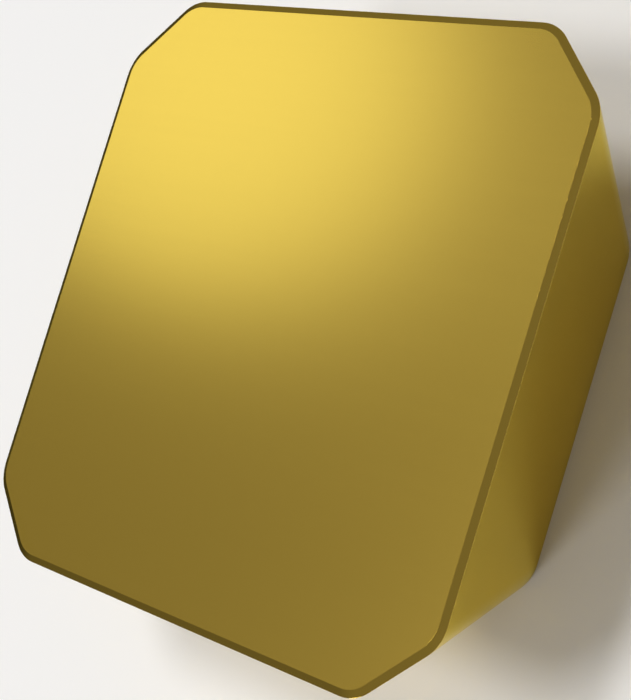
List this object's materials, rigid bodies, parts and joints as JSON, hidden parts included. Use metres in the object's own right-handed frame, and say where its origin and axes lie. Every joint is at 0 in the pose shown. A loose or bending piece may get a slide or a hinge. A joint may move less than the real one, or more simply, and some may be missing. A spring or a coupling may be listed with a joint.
{
  "type": "carbide milling insert",
  "caption": "Square indexable face-milling insert: flat rake face with a narrow chamfered land, inclined flanks and ground corner facets, gold nitride coated.",
  "frame": {"origin": "centre of the seat face, the small flat face that the insert lies on", "axes": "+Z out of the seat towards the rake face; X and Y square to the four main flanks, which are all alike"},
  "size_m": [0.0126, 0.0126, 0.0048],
  "materials": {
    "coated_carbide": "satin"
  },
  "bodies": {
    "root": {"insert": "coated_carbide"}
  },
  "joints": []
}
